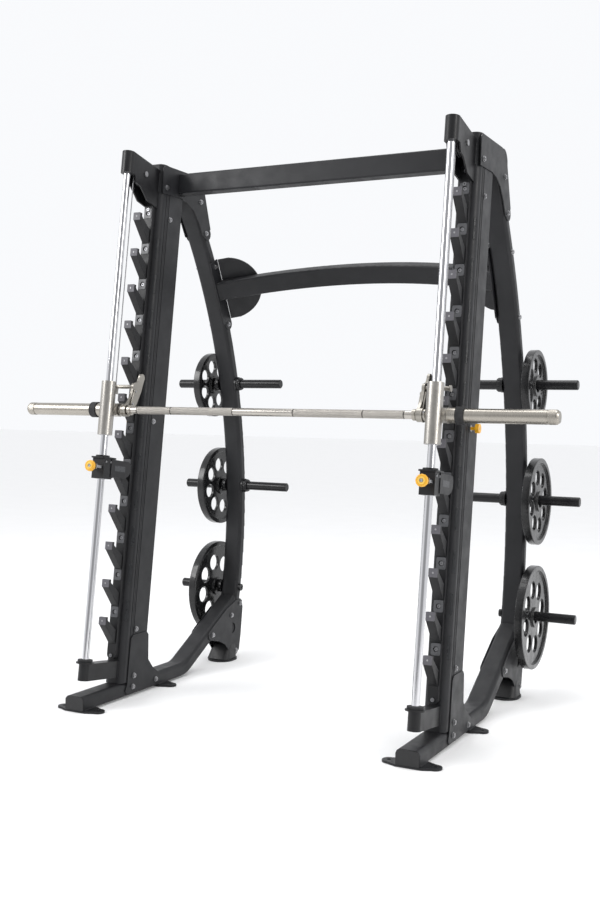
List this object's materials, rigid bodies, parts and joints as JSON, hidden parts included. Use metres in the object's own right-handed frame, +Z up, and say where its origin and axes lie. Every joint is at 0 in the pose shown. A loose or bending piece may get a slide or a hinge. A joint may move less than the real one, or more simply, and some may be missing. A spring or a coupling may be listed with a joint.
{
  "type": "smith machine",
  "caption": "Counterbalanced smith machine: a barbell rides two leaning chrome rods beside catch ladders, with sliding stops and storage horns for weight plates.",
  "frame": {"origin": "centre of the footprint on the floor", "axes": "+X to the machine's right as seen by someone facing its front, +Y to the rear, +Z up; the guide rods lean seven degrees to the rear"},
  "size_m": [2.21, 1.391, 2.2026],
  "materials": {
    "frame_coat": "satin charcoal powder coat",
    "rack_coat": "fine black powder coat",
    "catch_pad": "grey wear pad",
    "black_plastic": "moulded black plug",
    "rod_chrome": "hard chrome, ground",
    "black_rubber": "black rubber",
    "horn_coat": "semi-gloss black",
    "zinc_bolt": "zinc plated",
    "satin_nickel": "satin nickel plate",
    "bush_steel": "bearing steel",
    "stop_coat": "satin black",
    "latch_steel": "plain steel",
    "knob_yellow": "yellow moulded knob",
    "pulley_nylon": "black nylon",
    "weight_iron": "painted iron",
    "cable_wire": "coated wire rope",
    "plate_enamel": "gloss black enamel"
  },
  "bodies": {
    "frame": {"left_base_tube": "frame_coat", "right_base_tube": "frame_coat", "floor_feet": "frame_coat", "tube_caps": "black_plastic", "left_upright": "frame_coat", "right_upright": "frame_coat", "upright_foot_plates": "frame_coat", "left_rear_upright": "frame_coat", "right_rear_upright": "frame_coat", "rear_feet": "frame_coat", "lower_gussets": "frame_coat", "upper_gussets": "frame_coat", "front_crossbeam": "frame_coat", "rear_crossbeam": "frame_coat", "beam_brackets": "frame_coat", "left_catch_rack": "rack_coat", "right_catch_rack": "rack_coat", "catch_pads": "catch_pad", "left_guide_rod": "rod_chrome", "right_guide_rod": "rod_chrome", "left_rod_bracket": "frame_coat", "right_rod_bracket": "frame_coat", "rod_foot_brackets": "frame_coat", "rod_bumpers": "black_rubber", "weight_horns": "horn_coat", "horn_flanges": "horn_coat", "frame_bolts": "zinc_bolt", "rack_bolts": "zinc_bolt", "left_cable": "cable_wire", "right_cable": "cable_wire"},
    "carriages": {"left_carriage": "satin_nickel", "right_carriage": "satin_nickel", "carriage_bushes": "bush_steel"},
    "barbell": {"bar_shaft": "satin_nickel", "left_hook": "satin_nickel", "right_hook": "satin_nickel"},
    "left_sleeve": {"left_sleeve": "satin_nickel", "left_rubber_collar": "black_rubber"},
    "left_stop": {"left_stop": "stop_coat"},
    "left_stop_latch": {"left_stop_latch": "latch_steel", "left_stop_knob": "knob_yellow"},
    "left_lock_pin": {"left_lock_pin": "knob_yellow"},
    "left_counterweight": {"left_counterweight": "weight_iron"},
    "left_pulley": {"left_pulley": "pulley_nylon"},
    "left_rear_pulley": {"left_rear_pulley": "pulley_nylon"},
    "left_upper_plate": {"left_upper_plate": "plate_enamel"},
    "left_middle_plate": {"left_middle_plate": "plate_enamel"},
    "left_lower_plate": {"left_lower_plate": "plate_enamel"},
    "right_sleeve": {"right_sleeve": "satin_nickel", "right_rubber_collar": "black_rubber"},
    "right_stop": {"right_stop": "stop_coat"},
    "right_stop_latch": {"right_stop_latch": "latch_steel", "right_stop_knob": "knob_yellow"},
    "right_lock_pin": {"right_lock_pin": "knob_yellow"},
    "right_counterweight": {"right_counterweight": "weight_iron"},
    "right_pulley": {"right_pulley": "pulley_nylon"},
    "right_rear_pulley": {"right_rear_pulley": "pulley_nylon"},
    "right_upper_plate": {"right_upper_plate": "plate_enamel"},
    "right_middle_plate": {"right_middle_plate": "plate_enamel"},
    "right_lower_plate": {"right_lower_plate": "plate_enamel"}
  },
  "joints": [
    {"name": "bar_travel", "type": "slide", "parent": "frame", "child": "carriages", "axis": [0, 0.1219, 0.9925], "range_m": [0, 0.745], "deforming": ["left_cable", "right_cable"]},
    {"name": "bar_turn", "type": "hinge", "parent": "carriages", "child": "barbell", "pos_m": [0, -0.47008, 1.16236], "axis": [1, 0, 0], "range_deg": [-23.4, 7]},
    {"name": "left_sleeve_spin", "type": "hinge", "parent": "barbell", "child": "left_sleeve", "pos_m": [-0.9, -0.47008, 1.16236], "axis": [1, 0, 0], "continuous": true},
    {"name": "left_stop_slide", "type": "slide", "parent": "frame", "child": "left_stop", "axis": [0, 0.1219, 0.9925], "range_m": [-0.596, 0]},
    {"name": "left_stop_pull", "type": "slide", "parent": "left_stop", "child": "left_stop_latch", "axis": [0, 0.9925, -0.1219], "range_m": [0, 0.0205], "stiffness_N_per_m": 300, "springref_m": 0.0205},
    {"name": "left_lock_pin_pull", "type": "slide", "parent": "frame", "child": "left_lock_pin", "axis": [1, 0, 0], "range_m": [0, 0.014], "stiffness_N_per_m": 250, "springref_m": 0.014},
    {"name": "left_counterweight_travel", "type": "slide", "parent": "frame", "child": "left_counterweight", "axis": [0, 0.1219, 0.9925], "range_m": [-0.745, 0]},
    {"name": "left_pulley_spin", "type": "hinge", "parent": "frame", "child": "left_pulley", "pos_m": [-0.684, -0.30151, 2.12499], "axis": [1, 0, 0], "range_deg": [-955, 5]},
    {"name": "left_rear_pulley_spin", "type": "hinge", "parent": "frame", "child": "left_rear_pulley", "pos_m": [-0.684, -0.15576, 2.12221], "axis": [1, 0, 0], "range_deg": [-1430, 5]},
    {"name": "left_upper_plate_off", "type": "slide", "parent": "frame", "child": "left_upper_plate", "axis": [-1, 0, 0], "range_m": [0, 0.215]},
    {"name": "left_middle_plate_off", "type": "slide", "parent": "frame", "child": "left_middle_plate", "axis": [-1, 0, 0], "range_m": [0, 0.215]},
    {"name": "left_lower_plate_off", "type": "slide", "parent": "frame", "child": "left_lower_plate", "axis": [-1, 0, 0], "range_m": [0, 0.215]},
    {"name": "right_sleeve_spin", "type": "hinge", "parent": "barbell", "child": "right_sleeve", "pos_m": [0.9, -0.47008, 1.16236], "axis": [1, 0, 0], "continuous": true},
    {"name": "right_stop_slide", "type": "slide", "parent": "frame", "child": "right_stop", "axis": [0, 0.1219, 0.9925], "range_m": [-0.596, 0]},
    {"name": "right_stop_pull", "type": "slide", "parent": "right_stop", "child": "right_stop_latch", "axis": [0, 0.9925, -0.1219], "range_m": [0, 0.0205], "stiffness_N_per_m": 300, "springref_m": 0.0205},
    {"name": "right_lock_pin_pull", "type": "slide", "parent": "frame", "child": "right_lock_pin", "axis": [-1, 0, 0], "range_m": [0, 0.014], "stiffness_N_per_m": 250, "springref_m": 0.014},
    {"name": "right_counterweight_travel", "type": "slide", "parent": "frame", "child": "right_counterweight", "axis": [0, 0.1219, 0.9925], "range_m": [-0.745, 0]},
    {"name": "right_pulley_spin", "type": "hinge", "parent": "frame", "child": "right_pulley", "pos_m": [0.684, -0.30151, 2.12499], "axis": [1, 0, 0], "range_deg": [-955, 5]},
    {"name": "right_rear_pulley_spin", "type": "hinge", "parent": "frame", "child": "right_rear_pulley", "pos_m": [0.684, -0.15576, 2.12221], "axis": [1, 0, 0], "range_deg": [-1430, 5]},
    {"name": "right_upper_plate_off", "type": "slide", "parent": "frame", "child": "right_upper_plate", "axis": [1, 0, 0], "range_m": [0, 0.215]},
    {"name": "right_middle_plate_off", "type": "slide", "parent": "frame", "child": "right_middle_plate", "axis": [1, 0, 0], "range_m": [0, 0.215]},
    {"name": "right_lower_plate_off", "type": "slide", "parent": "frame", "child": "right_lower_plate", "axis": [1, 0, 0], "range_m": [0, 0.215]}
  ],
  "couplings": [
    {"joint": "left_counterweight_travel", "follows": "bar_travel", "ratio": -1},
    {"joint": "left_pulley_spin", "follows": "bar_travel", "rad_per_m": -22.222},
    {"joint": "left_rear_pulley_spin", "follows": "bar_travel", "rad_per_m": -33.333},
    {"joint": "right_counterweight_travel", "follows": "bar_travel", "ratio": -1},
    {"joint": "right_pulley_spin", "follows": "bar_travel", "rad_per_m": -22.222},
    {"joint": "right_rear_pulley_spin", "follows": "bar_travel", "rad_per_m": -33.333}
  ]
}
